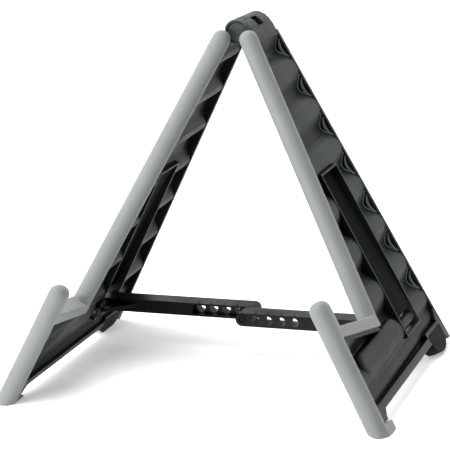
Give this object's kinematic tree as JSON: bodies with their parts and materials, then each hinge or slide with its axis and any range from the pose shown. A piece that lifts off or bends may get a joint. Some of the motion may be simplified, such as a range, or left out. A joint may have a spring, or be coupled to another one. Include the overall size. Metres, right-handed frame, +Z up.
{
  "type": "folding guitar stand",
  "caption": "Folding A-frame guitar stand: moulded legs on a top hinge, padded rails and ledges that cradle the body, and a folding brace.",
  "frame": {"origin": "on the floor, at the middle of the stand's width and depth, in the open stance", "axes": "+X across the stand, from the left leg to the right leg as its user faces it; +Y along the hinge axis, from the front, where the guitar goes, to the back; +Z up"},
  "size_m": [0.3924, 0.2788, 0.3442],
  "materials": {
    "left_leg_panel": "satin moulded plastic",
    "left_upper_pad": "soft matte thermoplastic rubber",
    "left_ledge_pad": "soft matte thermoplastic rubber",
    "left_lower_pad": "soft matte thermoplastic rubber",
    "left_rear_foot": "dull black rubber",
    "left_brace_link": "satin moulded plastic",
    "left_pivot_pin": "drawn steel wire",
    "right_leg_panel": "satin moulded plastic",
    "right_upper_pad": "soft matte thermoplastic rubber",
    "right_ledge_pad": "soft matte thermoplastic rubber",
    "right_lower_pad": "soft matte thermoplastic rubber",
    "right_rear_foot": "dull black rubber",
    "right_brace_link": "satin moulded plastic",
    "right_pivot_pin": "drawn steel wire",
    "hinge_axle": "turned steel",
    "hinge_front_cap": "satin moulded plastic",
    "hinge_rear_cap": "satin moulded plastic",
    "hinge_washer_front": "nylon",
    "hinge_washer_rear": "nylon",
    "brace_pin_front": "satin moulded plastic",
    "brace_pin_rear": "satin moulded plastic",
    "brace_pin_clip": "sprung steel"
  },
  "bodies": {
    "left_leg": {"left_leg_panel": "left_leg_panel", "left_upper_pad": "left_upper_pad", "left_ledge_pad": "left_ledge_pad", "left_lower_pad": "left_lower_pad", "left_rear_foot": "left_rear_foot", "left_pivot_pin": "left_pivot_pin"},
    "right_leg": {"right_leg_panel": "right_leg_panel", "right_upper_pad": "right_upper_pad", "right_ledge_pad": "right_ledge_pad", "right_lower_pad": "right_lower_pad", "right_rear_foot": "right_rear_foot", "right_pivot_pin": "right_pivot_pin", "hinge_axle": "hinge_axle", "hinge_front_cap": "hinge_front_cap", "hinge_rear_cap": "hinge_rear_cap", "hinge_washer_front": "hinge_washer_front", "hinge_washer_rear": "hinge_washer_rear"},
    "left_link": {"left_brace_link": "left_brace_link", "brace_pin_rear": "brace_pin_rear", "brace_pin_clip": "brace_pin_clip"},
    "right_link": {"right_brace_link": "right_brace_link", "brace_pin_front": "brace_pin_front"}
  },
  "joints": [
    {"name": "top_hinge", "type": "hinge", "parent": "left_leg", "child": "right_leg", "pos_m": [0, 0.08595, 0.33166], "axis": [0, 1, 0], "range_deg": [0, 55.6]},
    {"name": "left_link_pivot", "type": "hinge", "parent": "left_leg", "child": "left_link", "pos_m": [-0.15981, 0.05695, 0.04399], "axis": [0, -1, 0], "range_deg": [0, 59.8]},
    {"name": "right_link_pivot", "type": "hinge", "parent": "right_leg", "child": "right_link", "pos_m": [0.15981, 0.05695, 0.04399], "axis": [0, 1, 0], "range_deg": [0, 59.8]}
  ],
  "couplings": [
    {"joint": "left_link_pivot", "follows": "top_hinge", "ratio": 1.0723},
    {"joint": "right_link_pivot", "follows": "top_hinge", "ratio": 1.0723}
  ]
}
